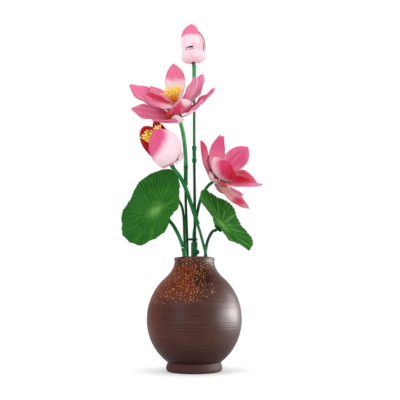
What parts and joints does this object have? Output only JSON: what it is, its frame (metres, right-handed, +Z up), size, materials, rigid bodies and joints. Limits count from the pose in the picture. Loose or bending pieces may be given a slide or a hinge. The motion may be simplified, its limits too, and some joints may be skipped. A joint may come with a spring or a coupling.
{
  "type": "artificial lotus arrangement in a vase",
  "caption": "Moulded lotus flowers, a bud and two round leaves on slim push-together stems, standing in a round glazed vase.",
  "frame": {"origin": "centre of the vase's flat foot, on the surface it stands on", "axes": "+Z up along the vase's axis, +X to the right and +Y away from the viewer of the front"},
  "size_m": [0.1637, 0.1038, 0.4024],
  "materials": {
    "stoneware": "dark brown-red glaze over stoneware, fine turned lines, rust-red shoulder",
    "stem_plastic": "moulded satin plastic, deep green",
    "leaf_plastic": "moulded soft sheet, leaf green with fine pale radial veins",
    "petal_plastic": "moulded satin plastic, pink tip fading to a pale foot",
    "pale_petal": "moulded satin plastic, pale pink",
    "red_petal": "moulded satin plastic, deep red",
    "stamen_plastic": "moulded satin plastic, yellow stamens on an orange hub"
  },
  "bodies": {
    "root": {"bud_core": "pale_petal", "bud_cup_left": "pale_petal", "bud_cup_right": "pale_petal", "bud_petal_back": "petal_plastic", "bud_petal_front": "petal_plastic", "bud_petal_left": "petal_plastic", "bud_petal_right": "petal_plastic", "bud_stem_coupling": "stem_plastic", "bud_stem_lower_rod": "stem_plastic", "bud_stem_rod": "stem_plastic", "bud_stem_tube": "stem_plastic", "half_open_heart": "stamen_plastic", "half_open_petal_back": "red_petal", "half_open_petal_back_right": "petal_plastic", "half_open_petal_cup": "pale_petal", "half_open_petal_front": "petal_plastic", "half_open_petal_left": "red_petal", "half_open_petal_right": "petal_plastic", "half_open_stem_rod": "stem_plastic", "half_open_stem_tube": "stem_plastic", "left_leaf": "leaf_plastic", "left_leaf_brace": "stem_plastic", "left_leaf_clip": "stem_plastic", "left_leaf_socket": "stem_plastic", "left_leaf_stalk": "stem_plastic", "link_clip": "stem_plastic", "open_heart": "stamen_plastic", "open_petal_back": "petal_plastic", "open_petal_back_left": "petal_plastic", "open_petal_far_left": "petal_plastic", "open_petal_far_right": "petal_plastic", "open_petal_front": "petal_plastic", "open_petal_front_inner": "petal_plastic", "open_petal_left_deep": "petal_plastic", "open_petal_low_left": "petal_plastic", "open_petal_low_right": "petal_plastic", "open_petal_right_inner": "petal_plastic", "open_petal_right_upper": "petal_plastic", "open_petal_under": "petal_plastic", "open_stem_rod": "stem_plastic", "open_stem_sleeve": "stem_plastic", "open_stem_tube": "stem_plastic", "right_leaf": "leaf_plastic", "right_leaf_clip": "stem_plastic", "right_leaf_stalk": "stem_plastic", "side_heart": "stamen_plastic", "side_petal_front": "petal_plastic", "side_petal_left": "petal_plastic", "side_petal_low": "petal_plastic", "side_petal_low_back": "petal_plastic", "side_petal_right_far": "petal_plastic", "side_petal_right_mid": "petal_plastic", "side_petal_right_round": "petal_plastic", "side_petal_tall": "petal_plastic", "side_petal_tall_back": "petal_plastic", "side_stem": "stem_plastic", "socket_spike": "stem_plastic", "stem_socket": "stem_plastic", "vase": "stoneware"}
  },
  "joints": []
}
